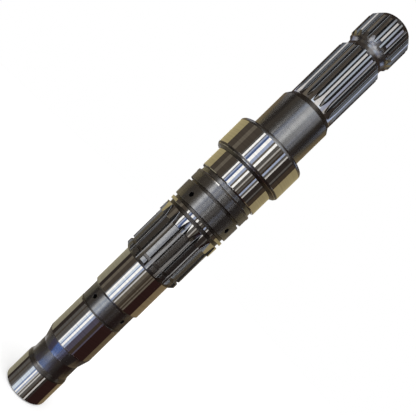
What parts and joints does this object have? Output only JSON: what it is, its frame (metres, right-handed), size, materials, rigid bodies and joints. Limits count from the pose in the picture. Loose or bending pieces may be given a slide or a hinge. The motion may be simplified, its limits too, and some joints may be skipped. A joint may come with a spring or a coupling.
{
  "type": "power take-off shaft",
  "caption": "Solid steel power take-off shaft with an output spline, thrust collar, drilled oil hub, clutch spline and stepped bearing journals.",
  "frame": {"origin": "centre of the flat pilot end face, on which the shaft stands", "axes": "+Z along the shaft's axis, from the pilot end to the output spline; +X through the middle of one oil hole and one clutch spline tooth"},
  "size_m": [0.0705, 0.0704, 0.4396],
  "materials": {
    "ground_steel": "ground and polished journals, satin turned zones and milled spline teeth"
  },
  "bodies": {
    "root": {"power_takeoff_shaft": "ground_steel"}
  },
  "joints": []
}
